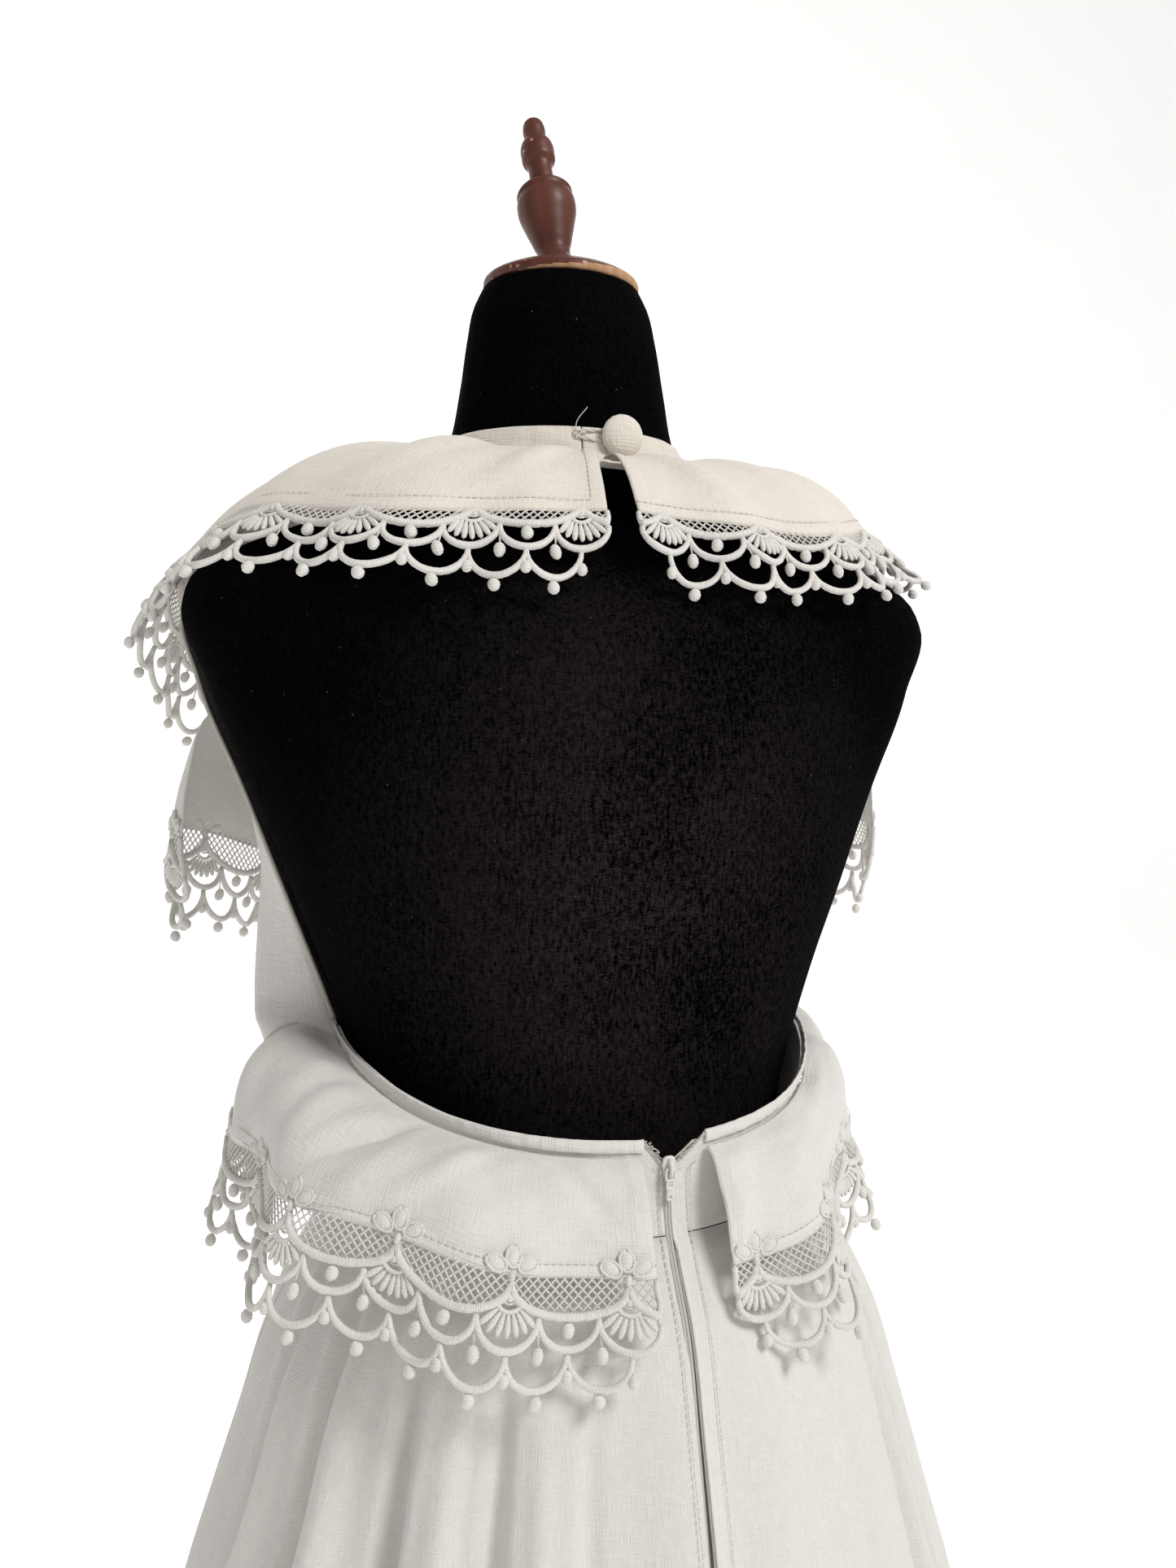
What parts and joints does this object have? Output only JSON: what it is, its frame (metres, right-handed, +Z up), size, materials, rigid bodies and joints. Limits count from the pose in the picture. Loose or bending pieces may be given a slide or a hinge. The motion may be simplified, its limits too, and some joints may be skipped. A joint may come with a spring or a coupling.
{
  "type": "dress on a dress form",
  "caption": "White open-back halter dress with a cape collar, lace-edged flounces, full skirt and back zip, worn on a black velvet dress form with a turned wooden cap and stand.",
  "frame": {"origin": "on the floor under the stand's pole, in the middle of the hem", "axes": "+Z up; the dress's front faces -Y and its back, with the zip, faces +Y; +X is the wearer's left"},
  "size_m": [0.688, 0.6514, 1.5538],
  "materials": {
    "velvet": "short black velvet pile",
    "turned_wood": "dark painted turned wood, softly glossy",
    "stand_wood": "satin stained wood",
    "cotton": "matt fine weave, white",
    "lace_cotton": "raised cotton cord lace, white",
    "zip_tape": "woven tape, white",
    "enamel": "smooth white enamel"
  },
  "bodies": {
    "dress_and_form": {"bodice_back_left": "cotton", "bodice_back_right": "cotton", "bodice_front": "cotton", "button": "cotton", "button_loop": "cotton", "collar_left": "cotton", "collar_left_lace": "lace_cotton", "collar_right": "cotton", "collar_right_lace": "lace_cotton", "finial": "turned_wood", "form_torso": "velvet", "mid_flounce_left": "cotton", "mid_flounce_left_lace": "lace_cotton", "mid_flounce_right": "cotton", "mid_flounce_right_lace": "lace_cotton", "neck_cap": "turned_wood", "neckband": "cotton", "opening_binding_left": "cotton", "opening_binding_right": "cotton", "skirt_back_left": "cotton", "skirt_back_right": "cotton", "skirt_front": "cotton", "stand_hub": "stand_wood", "stand_leg_1": "stand_wood", "stand_leg_2": "stand_wood", "stand_leg_3": "stand_wood", "stand_pole": "stand_wood", "waist_flounce_back_left": "cotton", "waist_flounce_back_left_lace": "lace_cotton", "waist_flounce_back_right": "cotton", "waist_flounce_back_right_lace": "lace_cotton", "waist_flounce_front_left": "cotton", "waist_flounce_front_left_lace": "lace_cotton", "waist_flounce_front_right": "cotton", "waist_flounce_front_right_lace": "lace_cotton", "zip_slider": "enamel", "zip_tape_left": "zip_tape", "zip_tape_right": "zip_tape"},
    "pull_tab": {"zip_pull_tab": "enamel"}
  },
  "joints": [
    {"name": "pull_tab_swing", "type": "hinge", "parent": "dress_and_form", "child": "pull_tab", "pos_m": [-0.007, 0.10447, 1.0485], "axis": [1, 0, 0], "range_deg": [0, 160]}
  ]
}
